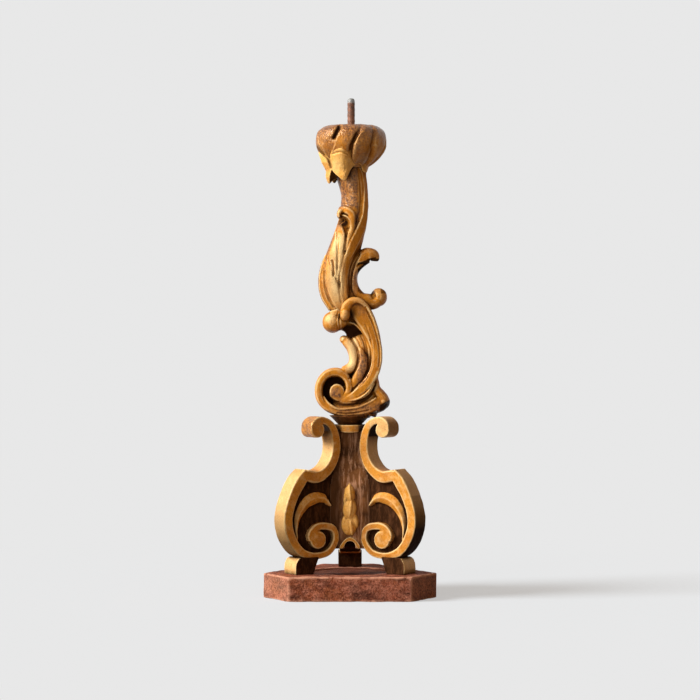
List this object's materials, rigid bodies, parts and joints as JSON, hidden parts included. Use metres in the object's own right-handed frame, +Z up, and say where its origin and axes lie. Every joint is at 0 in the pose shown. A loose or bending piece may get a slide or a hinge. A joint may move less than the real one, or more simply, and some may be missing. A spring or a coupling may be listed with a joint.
{
  "type": "torchere candle stand",
  "caption": "Carved, gilded pricket candle stand: scroll-board base on a three-sided plinth, S-shaped leafy stem, lobed cup and iron pricket.",
  "frame": {"origin": "on the floor under the middle of the three scroll boards, in the plinth's resting face", "axes": "+Z up along the stand, -Y towards the front panel, +X to the right seen from the front"},
  "size_m": [0.2228, 0.194, 0.646],
  "materials": {
    "gilded_wood": "carved wood with worn, patinated gold leaf over reddish bole",
    "dark_wood": "dark brown stained ground",
    "plinth_paint": "matt mottled red-brown paint in imitation of porphyry, worn at the edges",
    "bare_wood": "plain turned dowel",
    "rusty_iron": "rusted wrought iron rod"
  },
  "bodies": {
    "root": {"plinth": "plinth_paint", "foot_left": "gilded_wood", "foot_right": "gilded_wood", "foot_back": "gilded_wood", "foot_dowels": "bare_wood", "scroll_left": "gilded_wood", "scroll_right": "gilded_wood", "scroll_back": "gilded_wood", "core_post": "dark_wood", "board_dowels": "bare_wood", "panel_front": "dark_wood", "panel_right": "dark_wood", "panel_left": "dark_wood", "arch_front": "gilded_wood", "arch_right": "gilded_wood", "arch_left": "gilded_wood", "leaf_spray_front": "gilded_wood", "leaf_spray_right": "gilded_wood", "leaf_spray_left": "gilded_wood", "cap_plate": "gilded_wood", "stem_collar": "dark_wood", "stem_dowel": "bare_wood", "stem_lower": "gilded_wood", "joint_dowel": "bare_wood", "stem_upper": "gilded_wood", "leaf_collar": "gilded_wood", "cup": "gilded_wood", "pricket": "rusty_iron"}
  },
  "joints": []
}
